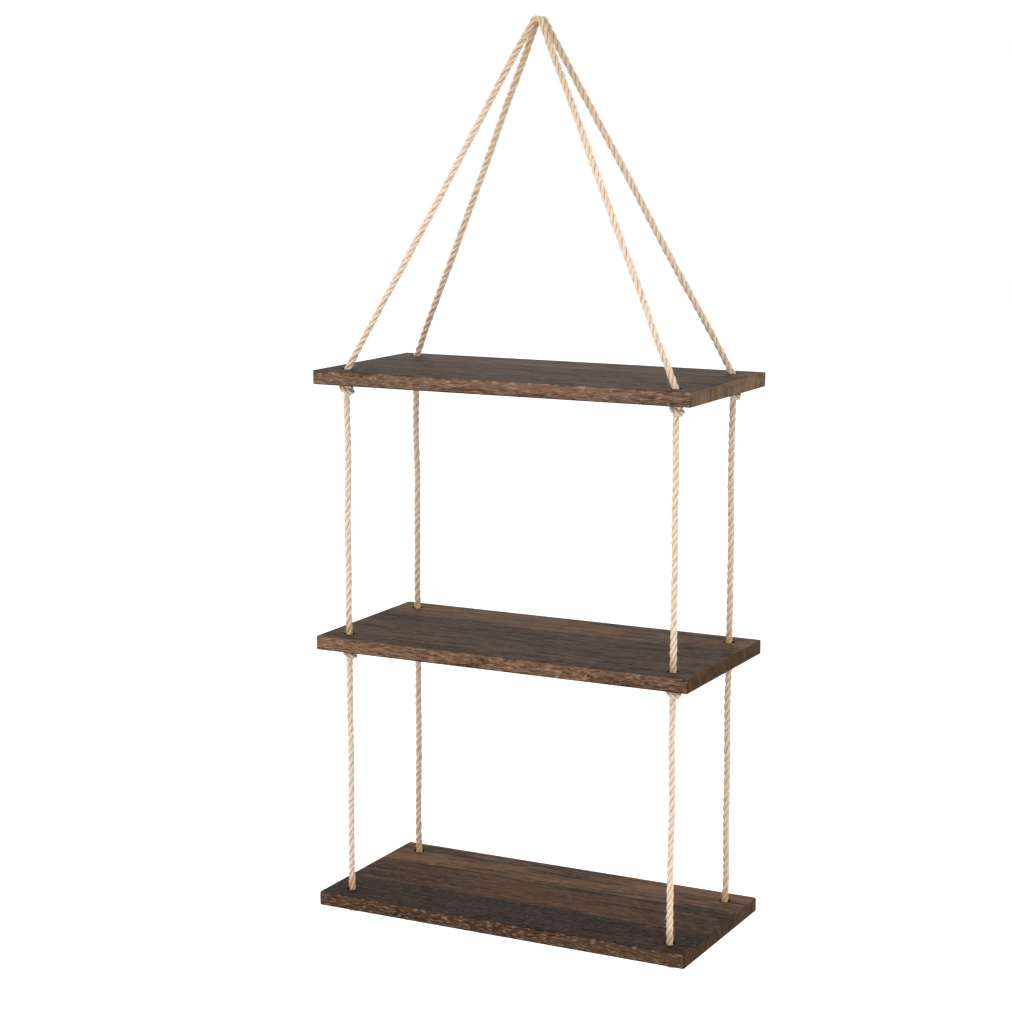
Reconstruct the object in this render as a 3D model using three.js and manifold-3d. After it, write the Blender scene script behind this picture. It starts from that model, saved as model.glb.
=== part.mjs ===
import * as THREE from "three";
import { mergeVertices } from "three/addons/utils/BufferGeometryUtils.js";
import Module from "manifold-3d";

// A hanging shelf: three boards of edge-glued staves on two jute ropes. Each rope lies over the
// hook, runs down through a hole in every board on both sides, and is knotted under each board.
// Millimetres, +Z up, +X along the boards, +Y towards the wall. The origin is where the hook bears.

// The boards
const boardLength = 430;
const boardDepth = 200;
const boardThickness = 15;
const clearHeight = 270; // between two boards
const hangHeight = 357; // from the hook down to the top face of the top board
const cornerRadius = 2.5;
const edgeEase = 1.2; // the worn edge round both faces
const frontStaveWidth = 67;
const backStaveWidth = 65;
const buttJointFromEnd = 110; // the middle board's front stave is two lengths end to end

// The rope holes
const holeClearance = 4.5; // hole diameter over rope diameter
const holeFromEnd = 26.5;
const holeFromEdge = 25.5;
const knotSeatDepth = 7; // the underside is bored out round each hole, and the knots bed into it
const lowestSeatDepth = 10; // deeper under the bottom board, which hides its knots
const knotSeatClearance = 0.75; // round a knot

// The ropes
const ropeDiameter = 7;
const ropeSideGap = 0.4; // between the two ropes on the hook
const hookDiameter = 4;
const strandGap = 0.3; // between two stretches of one rope, and between a knot and its board
const pivotDepth = 4; // where a swaying rope turns inside its hole
const bendDepth = 2.5; // where a top rope turns upright inside its hole
const bendReach = 4; // how far the turn spreads each way
const tailLength = 0.3; // rope left under the lowest knots
const knotSqueezeShare = 0.7; // a strand drawn tight is thinner than the free rope
const knotGap = 0.45; // least gap of a knot to itself
const squeezeLength = 5; // over which the rope thins towards a knot

// Facets
const ropeSides = 12;
const knotSides = 8;
const knotSteps = 34;
const bendSteps = 4;
const bightSteps = 14;
const ballSteps = 8;
const holeSides = 24;
const cornerSides = 3;
const easeSteps = 2;
const cutOverrun = 1; // cutters reach past what they cut

const ropeRadius = ropeDiameter / 2;
const hookRadius = hookDiameter / 2;
const knotRadius = ropeRadius * knotSqueezeShare;
const holeRadius = (ropeDiameter + holeClearance) / 2;
const holeX = boardLength / 2 - holeFromEnd;
const holeY = boardDepth / 2 - holeFromEdge;
const tierPitch = clearHeight + boardThickness;
const turnReach = ropeRadius + strandGap; // from a turning point to the stretches beside its ball

const corners = [
  { name: "front_left", x: -1, y: -1 },
  { name: "back_left", x: -1, y: 1 },
  { name: "front_right", x: 1, y: -1 },
  { name: "back_right", x: 1, y: 1 },
];
const guideCorner = corners[0]; // a swaying board is carried by its joints at this rope

const wood = new THREE.MeshStandardMaterial({ color: 0x5a4638, roughness: 0.72, metalness: 0 });
const jute = new THREE.MeshStandardMaterial({ color: 0xd2b48c, roughness: 0.95, metalness: 0 });

const wasm = await Module();
wasm.setup();

function toSolid(geometry) {
  const bare = geometry.clone();
  bare.deleteAttribute("normal");
  bare.deleteAttribute("uv");
  const merged = mergeVertices(bare);
  return new wasm.Manifold(
    new wasm.Mesh({
      numProp: 3,
      vertProperties: new Float32Array(merged.attributes.position.array),
      triVerts: new Uint32Array(merged.index.array),
    }),
  );
}

function toGeometry(solid) {
  const mesh = solid.getMesh();
  const geometry = new THREE.BufferGeometry();
  geometry.setAttribute("position", new THREE.BufferAttribute(mesh.vertProperties, mesh.numProp));
  geometry.setIndex(new THREE.BufferAttribute(mesh.triVerts, 1));
  geometry.computeVertexNormals();
  return geometry;
}

function piece(name, geometry, material) {
  const mesh = new THREE.Mesh(geometry, material.clone());
  mesh.name = name;
  return mesh;
}

// A lathe turns about Y, so its shape is stood up to turn about Z.
function turned(profile, sides) {
  return new THREE.LatheGeometry(profile, sides).rotateX(Math.PI / 2);
}

// Boards

function boardOutline() {
  const x = boardLength / 2;
  const y = boardDepth / 2;
  const r = cornerRadius;
  const outline = new THREE.Shape();
  outline.moveTo(-x + r, -y);
  outline.lineTo(x - r, -y);
  outline.absarc(x - r, -y + r, r, -Math.PI / 2, 0, false);
  outline.lineTo(x, y - r);
  outline.absarc(x - r, y - r, r, 0, Math.PI / 2, false);
  outline.lineTo(-x + r, y);
  outline.absarc(-x + r, y - r, r, Math.PI / 2, Math.PI, false);
  outline.lineTo(-x, -y + r);
  outline.absarc(-x + r, -y + r, r, Math.PI, Math.PI * 1.5, false);
  return outline;
}

// The blank lies with its top face at z = 0.
function boardBlank() {
  const blank = new THREE.ExtrudeGeometry(boardOutline(), {
    depth: boardThickness - 2 * edgeEase,
    curveSegments: cornerSides,
    bevelThickness: edgeEase,
    bevelSize: edgeEase,
    bevelOffset: -edgeEase,
    bevelSegments: easeSteps,
  });
  blank.translate(0, 0, edgeEase - boardThickness);
  return toSolid(blank);
}

function holeCutter(corner, seatDepth) {
  const top = cutOverrun;
  const bottom = -boardThickness - cutOverrun;
  const seat = seatDepth - boardThickness;
  const profile = [
    new THREE.Vector2(0, bottom),
    new THREE.Vector2(knotSeatRadius, bottom),
    new THREE.Vector2(knotSeatRadius, seat),
    new THREE.Vector2(holeRadius, seat),
    new THREE.Vector2(holeRadius, top),
    new THREE.Vector2(0, top),
  ];
  const cutter = turned(profile, holeSides);
  cutter.translate(corner.x * holeX, corner.y * holeY, 0);
  return toSolid(cutter);
}

function staveBox(x0, x1, y0, y1) {
  const height = boardThickness + 2 * cutOverrun;
  const box = new THREE.BoxGeometry(x1 - x0, y1 - y0, height);
  box.translate((x0 + x1) / 2, (y0 + y1) / 2, -boardThickness / 2);
  return toSolid(box);
}

// Each board is three staves glued edge to edge, and its blank is parted at the glue lines.
function boardStaves(boardName, frontInTwo, seatDepth) {
  let board = boardBlank();
  for (const corner of corners) board = board.subtract(holeCutter(corner, seatDepth));
  const x = boardLength / 2 + cutOverrun;
  const y = boardDepth / 2;
  const frontSeam = -y + frontStaveWidth;
  const backSeam = y - backStaveWidth;
  const joint = boardLength / 2 - buttJointFromEnd;
  const parts = [
    ["middle_stave", staveBox(-x, x, frontSeam, backSeam)],
    ["back_stave", staveBox(-x, x, backSeam, y + cutOverrun)],
  ];
  if (frontInTwo) {
    parts.push(["front_stave_left", staveBox(-x, joint, -y - cutOverrun, frontSeam)]);
    parts.push(["front_stave_right", staveBox(joint, x, -y - cutOverrun, frontSeam)]);
  } else {
    parts.push(["front_stave", staveBox(-x, x, -y - cutOverrun, frontSeam)]);
  }
  return parts.map(([name, box]) => piece(boardName + "_" + name, toGeometry(board.intersect(box)), wood));
}

// Knots. An overhand knot about the Z axis, in shares of its own loop: t runs from -1 to 1 as
// the strand comes down, goes round itself and through the loop, and leaves below. Half a turn
// about Y swaps its two halves.
const knotShares = {
  fall: 0.97, fall1: 1.83, fall2: 0.64, fall3: 0.21,
  side0: 0.35, side1: 0.61, side2: 1.07, side3: 0.13,
  back1: 0.25, back2: 1.18, back3: 0.14,
  axis: 0.7, lead: 1.23, part: 0.96,
};
const leadShares = [1, 1.5, 2]; // where the straight rope passes, in leads from the knot's centre

function unitKnotPoint(t) {
  const k = knotShares;
  const a = Math.PI * t;
  const fall = k.fall * t - k.fall1 * Math.sin(a) - k.fall2 * Math.sin(2 * a) - k.fall3 * Math.sin(3 * a);
  const side = k.side0 + k.side1 * Math.cos(a) + k.side2 * Math.cos(2 * a) + k.side3 * Math.cos(3 * a);
  const back = -k.back1 * Math.sin(a) - k.back2 * Math.sin(2 * a) - k.back3 * Math.sin(3 * a);
  return new THREE.Vector3(back, side - k.axis, -fall);
}

function unitKnot() {
  const halfPoints = 10;
  const points = [];
  for (const share of leadShares.toReversed()) points.push(new THREE.Vector3(0, 0, knotShares.lead * share));
  for (let i = -halfPoints; i <= halfPoints; i++) {
    points.push(unitKnotPoint((knotShares.part * i) / halfPoints));
  }
  for (const share of leadShares) points.push(new THREE.Vector3(0, 0, -knotShares.lead * share));
  return new THREE.CatmullRomCurve3(points);
}

// The least distance between stretches of a curve that lie more than apartShare of it apart.
function leastDistance(points) {
  const apartShare = 0.12;
  const apart = Math.round(points.length * apartShare);
  let least = Infinity;
  for (let i = 0; i < points.length; i++) {
    for (let j = i + apart; j < points.length; j++) least = Math.min(least, points[i].distanceTo(points[j]));
  }
  return least;
}

// The knot at its real size: its loop is as tight as the strand and its least gap let it be.
const measurePoints = 400;
const looseKnot = unitKnot();
const knotScale = (2 * knotRadius + knotGap) / leastDistance(looseKnot.getSpacedPoints(measurePoints));
const finePoints = looseKnot.getSpacedPoints(measurePoints).map((point) => point.multiplyScalar(knotScale));
const offAxis = (point) => Math.hypot(point.x, point.y) > knotRadius;
const knotHalfHeight = knotRadius + Math.max(...finePoints.filter(offAxis).map((point) => Math.abs(point.z)));
const knotHalfWidth = knotRadius + Math.max(...finePoints.map((point) => Math.hypot(point.x, point.y)));
const knotSeatRadius = knotHalfWidth + knotSeatClearance;
const knotLead = knotShares.lead * knotScale;
const measuredKnotGap = leastDistance(finePoints) - 2 * knotRadius;
console.log("least gap of each knot to itself: " + measuredKnotGap.toFixed(2) + " mm");

// The hole and the knot's seat in section, from far out on the underside up the hole's wall.
function seatSection(seatDepth) {
  const section = [
    [boardDepth, 0],
    [knotSeatRadius, 0],
    [knotSeatRadius, seatDepth],
    [holeRadius, seatDepth],
    [holeRadius, boardThickness],
  ];
  return section.map(([x, y]) => new THREE.Vector3(x, y, 0));
}

function seatClearance(section, drop) {
  const spans = section.slice(1).map((end, i) => new THREE.Line3(section[i], end));
  const nearest = new THREE.Vector3();
  let least = Infinity;
  for (const point of finePoints) {
    const place = new THREE.Vector3(Math.hypot(point.x, point.y), point.z - drop, 0);
    for (const span of spans) {
      span.closestPointToPoint(place, true, nearest);
      least = Math.min(least, nearest.distanceTo(place) - knotRadius);
    }
  }
  return least;
}

// A knot drawn up into its seat: its centre lies drop under the board's underside, and it ends
// at bottom, measured from the board's top face.
const seatingStep = 0.02;

function seatedKnot(seatDepth) {
  const section = seatSection(seatDepth);
  let drop = knotHalfHeight + strandGap;
  while (seatClearance(section, drop - seatingStep) > strandGap) drop -= seatingStep;
  return { seatDepth, drop, bottom: boardThickness + drop + knotHalfHeight };
}

const upperKnot = seatedKnot(knotSeatDepth);
const lowestKnot = seatedKnot(lowestSeatDepth);

// Ropes

// A strand along a list of points, with a thickness of its own at each.
function strand(stations, sides) {
  const positions = [];
  const index = [];
  const points = stations.map((station) => station.point);
  const normal = new THREE.Vector3(0, 1, 0);
  const last = points.length - 1;
  points.forEach((point, i) => {
    const along = points[Math.min(i + 1, last)].clone().sub(points[Math.max(i - 1, 0)]).normalize();
    normal.addScaledVector(along, -normal.dot(along)).normalize();
    const side = along.clone().cross(normal);
    for (let j = 0; j < sides; j++) {
      const angle = (2 * Math.PI * j) / sides;
      const rim = point.clone().addScaledVector(normal, stations[i].radius * Math.cos(angle));
      rim.addScaledVector(side, stations[i].radius * Math.sin(angle));
      positions.push(...rim.toArray());
    }
  });
  positions.push(...points[0].toArray(), ...points[last].toArray());
  const startCentre = points.length * sides;
  for (let j = 0; j < sides; j++) {
    const next = (j + 1) % sides;
    index.push(startCentre, next, j, startCentre + 1, last * sides + j, last * sides + next);
    for (let i = 0; i < last; i++) {
      const near = i * sides;
      const far = near + sides;
      index.push(near + j, near + next, far + next, near + j, far + next, far + j);
    }
  }
  const geometry = new THREE.BufferGeometry();
  geometry.setAttribute("position", new THREE.Float32BufferAttribute(positions, 3));
  geometry.setIndex(index);
  geometry.computeVertexNormals();
  return geometry;
}

// The straight strand's thickness at a height over or under the knot's centre.
function leadRadius(height) {
  const away = (Math.abs(height) - knotLead) / squeezeLength;
  return THREE.MathUtils.lerp(knotRadius, ropeRadius, THREE.MathUtils.clamp(away, 0, 1));
}

// The knot under one hole, as stations from its lead in the hole down to endDepth, with depths
// measured from the board's top face.
function knotStations(corner, knot, endDepth) {
  const centre = new THREE.Vector3(corner.x * holeX, corner.y * holeY, -boardThickness - knot.drop);
  const spaced = looseKnot.getSpacedPoints(knotSteps).map((point) => point.multiplyScalar(knotScale));
  const spacing = spaced[0].distanceTo(spaced[1]);
  const stations = [];
  spaced.forEach((point, i) => {
    const leaving = i > knotSteps / 2 && point.z < -knotLead;
    if (leaving && point.z + centre.z < spacing / 2 - endDepth) return;
    const radius = offAxis(point) ? knotRadius : leadRadius(point.z);
    stations.push({ point: point.add(centre), radius });
  });
  const end = new THREE.Vector3(centre.x, centre.y, -endDepth);
  stations.push({ point: end, radius: stations[stations.length - 1].radius });
  return stations;
}

// A stretch held in a lower board: it starts under the turning point in the hole and ends in
// the knot, with the next stretch hanging below it, or with a short tail.
function heldKnot(corner, knot, endDepth) {
  const centreDepth = boardThickness + knot.drop;
  const startDepth = pivotDepth + turnReach;
  const fullDepth = centreDepth - knotLead - squeezeLength;
  const leadDepths = [fullDepth, startDepth].filter((depth) => depth >= startDepth);
  const stations = knotStations(corner, knot, endDepth).filter(({ point }) => point.z < -leadDepths[0]);
  for (const depth of leadDepths) {
    const point = new THREE.Vector3(corner.x * holeX, corner.y * holeY, -depth);
    stations.unshift({ point, radius: leadRadius(centreDepth - depth) });
  }
  return strand(stations, knotSides);
}

// The two ropes lie side by side over the hook, each in a plane that leans out to its holes.
// Places in that plane are x along the board and rise up the slope from the bight's centre.
function leaningPlane(side) {
  const bightRadius = hookRadius + ropeRadius;
  const height = hangHeight + bendDepth - hookRadius;
  const leanIn = (bightRadius * holeY) / Math.hypot(holeY, height);
  const apart = (ropeDiameter + ropeSideGap) / 2 + leanIn;
  const centre = new THREE.Vector3(0, side * apart, -hookRadius);
  const reach = side * holeY - centre.y;
  const length = Math.hypot(reach, height);
  const holeAngle = Math.atan2(-length, holeX);
  const leaveAngle = holeAngle + Math.acos(bightRadius / Math.hypot(holeX, length));
  const at = (x, rise) => new THREE.Vector3(x, -rise * (reach / length), rise * (height / length)).add(centre);
  const onBight = (angle) => at(bightRadius * Math.cos(angle), bightRadius * Math.sin(angle));
  return { bightRadius, leaveAngle, onBight };
}

class BightCurve extends THREE.Curve {
  constructor(plane) {
    super();
    this.plane = plane;
    this.startAngle = plane.leaveAngle + strandGap / plane.bightRadius;
  }

  getPoint(t, target = new THREE.Vector3()) {
    const angle = THREE.MathUtils.lerp(Math.PI - this.startAngle, this.startAngle, t);
    return target.copy(this.plane.onBight(angle));
  }
}

function bight(plane) {
  const section = new THREE.Shape();
  section.absarc(0, 0, ropeRadius, 0, 2 * Math.PI, false);
  return new THREE.ExtrudeGeometry(section, {
    extrudePath: new BightCurve(plane),
    steps: bightSteps,
    curveSegments: ropeSides,
  });
}

// A top rope runs straight from the bight to its hole, turns upright there and ends in the knot
// under the top board.
function topRope(corner, plane) {
  const x = corner.x * holeX;
  const y = corner.y * holeY;
  const top = -hangHeight;
  const start = plane.onBight(corner.x > 0 ? plane.leaveAngle : Math.PI - plane.leaveAngle);
  const bend = new THREE.Vector3(x, y, top - bendDepth);
  const above = bend.clone().add(start.clone().sub(bend).setLength(bendReach));
  const below = bend.clone().add(new THREE.Vector3(0, 0, -bendReach));
  const turn = new THREE.QuadraticBezierCurve3(above, bend, below);
  const knot = knotStations(corner, upperKnot, upperKnot.bottom);
  const stations = [start, ...turn.getPoints(bendSteps)].map((point) => ({ point, radius: ropeRadius }));
  for (const { point, radius } of knot) {
    const lowered = point.clone().setZ(point.z + top);
    if (lowered.z < below.z - ropeRadius / 2) stations.push({ point: lowered, radius });
  }
  return strand(stations, knotSides);
}

// A hanging rope between two boards: a stretch that starts and ends beside its turning points.
function hangingRope(corner, turnHeight, lowerTurnHeight, roundFoot) {
  const top = turnHeight - turnReach;
  const profile = [new THREE.Vector2(0, top), new THREE.Vector2(ropeRadius, top)];
  if (roundFoot) {
    for (let i = 0; i <= bendSteps; i++) {
      const angle = (Math.PI / 2) * (i / bendSteps);
      const radius = i === bendSteps ? 0 : ropeRadius * Math.cos(angle);
      profile.push(new THREE.Vector2(radius, lowerTurnHeight - ropeRadius * Math.sin(angle)));
    }
  } else {
    const foot = lowerTurnHeight + turnReach;
    profile.push(new THREE.Vector2(ropeRadius, foot), new THREE.Vector2(0, foot));
  }
  const rope = turned(profile.reverse(), ropeSides);
  return rope.translate(corner.x * holeX, corner.y * holeY, 0);
}

// The few millimetres of rope that bend when a board sways, as a ball about the turning point.
function bendBall(corner, height) {
  const ball = new THREE.SphereGeometry(ropeRadius, ropeSides, ballSteps);
  return ball.translate(corner.x * holeX, corner.y * holeY, height);
}

const shelf = new THREE.Group();

const topBoard = new THREE.Group();
topBoard.position.z = -hangHeight;
topBoard.add(...boardStaves("top_board", false, upperKnot.seatDepth));
shelf.add(topBoard);

for (const side of [-1, 1]) {
  const plane = leaningPlane(side);
  shelf.add(piece((side < 0 ? "front" : "back") + "_rope_over_hook", bight(plane), jute));
  for (const corner of corners.filter(({ y }) => y === side)) {
    shelf.add(piece(corner.name + "_top_rope", topRope(corner, plane), jute));
  }
}

// Each lower board hangs on four ropes from the knots of the board above. Heights in its group
// are measured from its own top face.
const lowerTiers = [
  { name: "middle", frontInTwo: true, knot: upperKnot, tail: 0 },
  { name: "bottom", frontInTwo: false, knot: lowestKnot, tail: tailLength },
];
lowerTiers.forEach(({ name, frontInTwo, knot, tail }, i) => {
  const tier = new THREE.Group();
  tier.position.z = -hangHeight - tierPitch * (i + 1);
  tier.add(...boardStaves(name + "_board", frontInTwo, knot.seatDepth));
  const upperTurn = tierPitch - upperKnot.bottom - turnReach;
  for (const corner of corners) {
    const guide = corner === guideCorner;
    const rope = hangingRope(corner, upperTurn, -pivotDepth, !guide);
    tier.add(piece(corner.name + "_" + name + "_bend", bendBall(corner, upperTurn), jute));
    tier.add(piece(corner.name + "_" + name + "_rope", rope, jute));
    if (guide) tier.add(piece(corner.name + "_" + name + "_foot_bend", bendBall(corner, -pivotDepth), jute));
    tier.add(piece(name + "_board_" + corner.name + "_knot", heldKnot(corner, knot, knot.bottom + tail), jute));
  }
  shelf.add(tier);
});

export default shelf;
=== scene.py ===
import math
import random

import bmesh
import bpy
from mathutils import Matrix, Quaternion, Vector, noise
from mathutils.geometry import interpolate_bezier


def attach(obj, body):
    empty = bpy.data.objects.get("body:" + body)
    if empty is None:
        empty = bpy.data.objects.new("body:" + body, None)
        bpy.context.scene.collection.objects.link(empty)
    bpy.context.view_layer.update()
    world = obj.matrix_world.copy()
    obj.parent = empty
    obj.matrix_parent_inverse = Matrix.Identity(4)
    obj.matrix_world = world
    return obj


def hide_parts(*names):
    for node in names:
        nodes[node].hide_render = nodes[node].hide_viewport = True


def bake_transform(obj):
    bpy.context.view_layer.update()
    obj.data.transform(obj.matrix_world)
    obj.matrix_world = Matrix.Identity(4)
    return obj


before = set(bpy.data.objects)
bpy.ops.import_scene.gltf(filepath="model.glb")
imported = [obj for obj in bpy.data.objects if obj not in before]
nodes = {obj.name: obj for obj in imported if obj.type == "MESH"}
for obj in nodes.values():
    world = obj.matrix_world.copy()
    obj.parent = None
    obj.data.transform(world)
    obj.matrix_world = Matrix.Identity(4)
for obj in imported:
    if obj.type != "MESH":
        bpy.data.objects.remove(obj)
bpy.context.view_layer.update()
print("frame loaded:", len(nodes), "nodes")

# The camera stands where the photograph was taken from: a long lens, a little to the right.
camera = {
    "place": (1.1010, -2.2077, -0.0793),
    "looking": (-0.4520, 0.8761, -0.1681),
    "roll": 0.01,  # in degrees
    "lens": 84.47,
    "sensor": 36.0,
    "nearest": 0.05,
    "farthest": 60.0,
}


def placeCamera():
    data = bpy.data.cameras.new("shelfCamera")
    data.sensor_width = camera["sensor"]
    data.lens = camera["lens"]
    data.clip_start = camera["nearest"]
    data.clip_end = camera["farthest"]
    eye = bpy.data.objects.new("shelfCamera", data)
    bpy.context.scene.collection.objects.link(eye)
    along = Vector(camera["looking"]).normalized()
    eye.rotation_mode = "QUATERNION"
    turn = Quaternion(along, math.radians(camera["roll"]))
    eye.rotation_quaternion = turn @ along.to_track_quat("-Z", "Y")
    eye.location = camera["place"]
    bpy.context.scene.camera = eye


placeCamera()

# The boards and the holes that the ropes run through, as the part has them.
shelf = {
    "halfLength": 0.215,
    "halfDepth": 0.100,
    "thickness": 0.015,
    "clearHeight": 0.270,  # between two boards
    "topHeight": -0.357,  # the top board's top face, from the top of the hook
    "holeX": 0.1885,
    "holeY": 0.0745,
    "holeRadius": 0.00575,
    "cornerRadius": 0.0025,
    "backSeam": 0.035,
}

boardPitch = shelf["clearHeight"] + shelf["thickness"]
boardTops = {tier: shelf["topHeight"] - boardPitch * i for i, tier in enumerate(("top", "middle", "bottom"))}


# Small helpers for node trees.
def addNode(tree, kind, inputs=None, **settings):
    node = tree.nodes.new(kind)
    for name, value in settings.items():
        setattr(node, name, value)
    for socket, value in (inputs or {}).items():
        if isinstance(value, bpy.types.NodeSocket):
            tree.links.new(value, node.inputs[socket])
        else:
            node.inputs[socket].default_value = value
    return node


def calc(tree, operation, *values):
    return addNode(tree, "ShaderNodeMath", dict(enumerate(values)), operation=operation).outputs[0]


def vectorCalc(tree, operation, *values):
    node = addNode(tree, "ShaderNodeVectorMath", dict(enumerate(values)), operation=operation)
    return node.outputs["Value" if operation == "LENGTH" else "Vector"]


def vectorOf(tree, x, y, z=0.0):
    return addNode(tree, "ShaderNodeCombineXYZ", {"X": x, "Y": y, "Z": z}).outputs[0]


def partsOf(tree, vector):
    return addNode(tree, "ShaderNodeSeparateXYZ", {0: vector}).outputs


def smoothNoise(tree, place, detail, roughness=0.5):
    inputs = {"Vector": place, "Scale": 1.0, "Detail": detail, "Roughness": roughness}
    return addNode(tree, "ShaderNodeTexNoise", inputs).outputs["Fac"]


# Goes smoothly from toLow where the value is low to toHigh where it is high.
def band(tree, value, low, high, toLow=0.0, toHigh=1.0):
    inputs = {"Value": value, "From Min": low, "From Max": high, "To Min": toLow, "To Max": toHigh}
    return addNode(tree, "ShaderNodeMapRange", inputs, interpolation_type="SMOOTHSTEP").outputs["Result"]


def blendColour(tree, share, one, other, kind="MIX"):
    inputs = {0: share, 6: one, 7: other}
    return addNode(tree, "ShaderNodeMix", inputs, data_type="RGBA", blend_type=kind).outputs[2]


def addBump(tree, surface, height, strength, distance):
    bump = addNode(tree, "ShaderNodeBump", {"Height": height, "Strength": strength, "Distance": distance})
    tree.links.new(bump.outputs["Normal"], surface.inputs["Normal"])


# A colour as it is seen, from 0 to 255, as the shader wants it.
def paint(red, green, blue):
    def linear(value):
        value /= 255
        return value / 12.92 if value <= 0.04045 else ((value + 0.055) / 1.055) ** 2.4

    return (linear(red), linear(green), linear(blue), 1.0)


def newGroup(name, inputs, outputs):
    tree = bpy.data.node_groups.new(name, "ShaderNodeTree")
    for label, kind, value in inputs:
        socket = tree.interface.new_socket(label, in_out="INPUT", socket_type=kind)
        if value is not None:
            socket.default_value = value
    for label in outputs:
        tree.interface.new_socket(label, in_out="OUTPUT", socket_type="NodeSocketFloat")
    return tree, tree.nodes.new("NodeGroupInput").outputs, tree.nodes.new("NodeGroupOutput").inputs


def useGroup(tree, group, inputs):
    node = tree.nodes.new("ShaderNodeGroup")
    node.node_tree = group
    for label, value in inputs.items():
        if isinstance(value, bpy.types.NodeSocket):
            tree.links.new(value, node.inputs[label])
        else:
            node.inputs[label].default_value = value
    return node.outputs


def newMaterial(name):
    material = bpy.data.materials.new(name)
    material.use_nodes = True
    tree = material.node_tree
    return material, tree, tree.nodes["Principled BSDF"]


# How the growth rings wander, how often per metre along, across and down a stave and how far, and
# how a ring darkens towards its late edge.
growth = {
    "drifts": (
        ((4.0, 18.0, 18.0), 4.0),
        ((38.0, 90.0, 130.0), 1.0),
        ((120.0, 300.0, 420.0), 0.6),
    ),
    "driftDetail": 2.0,
    "rise": 1.8,
    "lateEdge": 0.82,
}

# What is drawn along the grain: whether it follows the rings, how finely it is drawn along, across
# and down a stave, its detail and its roughness.
grainLooks = {
    "Streaks": (True, (13.0, 130.0, 1.0), 5.0, 0.7),
    "Strands": (True, (22.0, 520.0, 1.0), 4.0, 0.65),
    "Splinters": (True, (80.0, 900.0, 1.0), 4.0, 0.65),
    "Cells": (False, (1.0, 560.0, 75.0), 3.0, 0.7),
    "Fibres": (False, (50.0, 800.0, 800.0), 3.0, 0.7),
    "Tone": (False, (4.0, 26.0, 60.0), 3.0, 0.5),
    "Flecks": (True, (110.0, 1400.0, 1.0), 1.0, 0.5),
}
fleckBand = (0.56, 0.64)


# Growth rings about a line along X, the stave's heart. What follows the rings wanders with them.
def buildGrainGroup():
    tree, given, result = newGroup(
        "woodGrain",
        [
            ("Vector", "NodeSocketVector", None),
            ("Heart", "NodeSocketVector", (0.0, 0.0, 0.0)),
            ("Ring Width", "NodeSocketFloat", 0.002),
            ("Wander", "NodeSocketFloat", 0.003),
            ("Seed", "NodeSocketFloat", 0.0),
        ],
        ["Rings", *grainLooks],
    )
    vector, seed = given["Vector"], given["Seed"]
    shift = vectorOf(tree, seed, seed, seed)

    def drawn(place, scale, detail, roughness=0.5):
        moved = vectorCalc(tree, "ADD", vectorCalc(tree, "MULTIPLY", place, scale), shift)
        return smoothNoise(tree, moved, detail, roughness)

    drift = 0.0
    for scale, share in growth["drifts"]:
        swing = calc(tree, "SUBTRACT", drawn(vector, scale, growth["driftDetail"]), 0.5)
        drift = calc(tree, "MULTIPLY_ADD", swing, share, drift)
    fromHeart = vectorCalc(tree, "SUBTRACT", vector, given["Heart"])
    reach = vectorCalc(tree, "LENGTH", vectorCalc(tree, "MULTIPLY", fromHeart, (0.0, 1.0, 1.0)))
    radius = calc(tree, "MULTIPLY_ADD", drift, given["Wander"], reach)
    turns = calc(tree, "FRACT", calc(tree, "DIVIDE", radius, given["Ring Width"]))
    late = band(tree, turns, 1.0, growth["lateEdge"])
    rings = calc(tree, "MULTIPLY", calc(tree, "POWER", turns, growth["rise"]), late)
    tree.links.new(rings, result["Rings"])
    laid = vectorOf(tree, partsOf(tree, vector)["X"], radius)
    for label, (followsRings, scale, detail, roughness) in grainLooks.items():
        look = drawn(laid if followsRings else vector, scale, detail, roughness)
        if label == "Flecks":
            look = band(tree, look, *fleckBand)
        tree.links.new(look, result[label])
    return tree


# Where a board's finish and its painted shade change: from and to, in metres unless it says a share.
finishBands = {
    "upright": (0.0009, 0.0002),  # short of the corner's full radius
    "endTurnShare": (0.45, 0.95),  # of the way round a corner towards an end
    "low": (0.0020, 0.0060),  # under the top face
    "glueLine": (0.0015, 0.0004),
    # A dark line of painted shade along the lower arrises and corners.
    "lowArris": (0.0016, 0.0004),
    # Painted shade in the rope holes, fading out over their rims.
    "shadedHole": (0.0016, 0.0),
}


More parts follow.
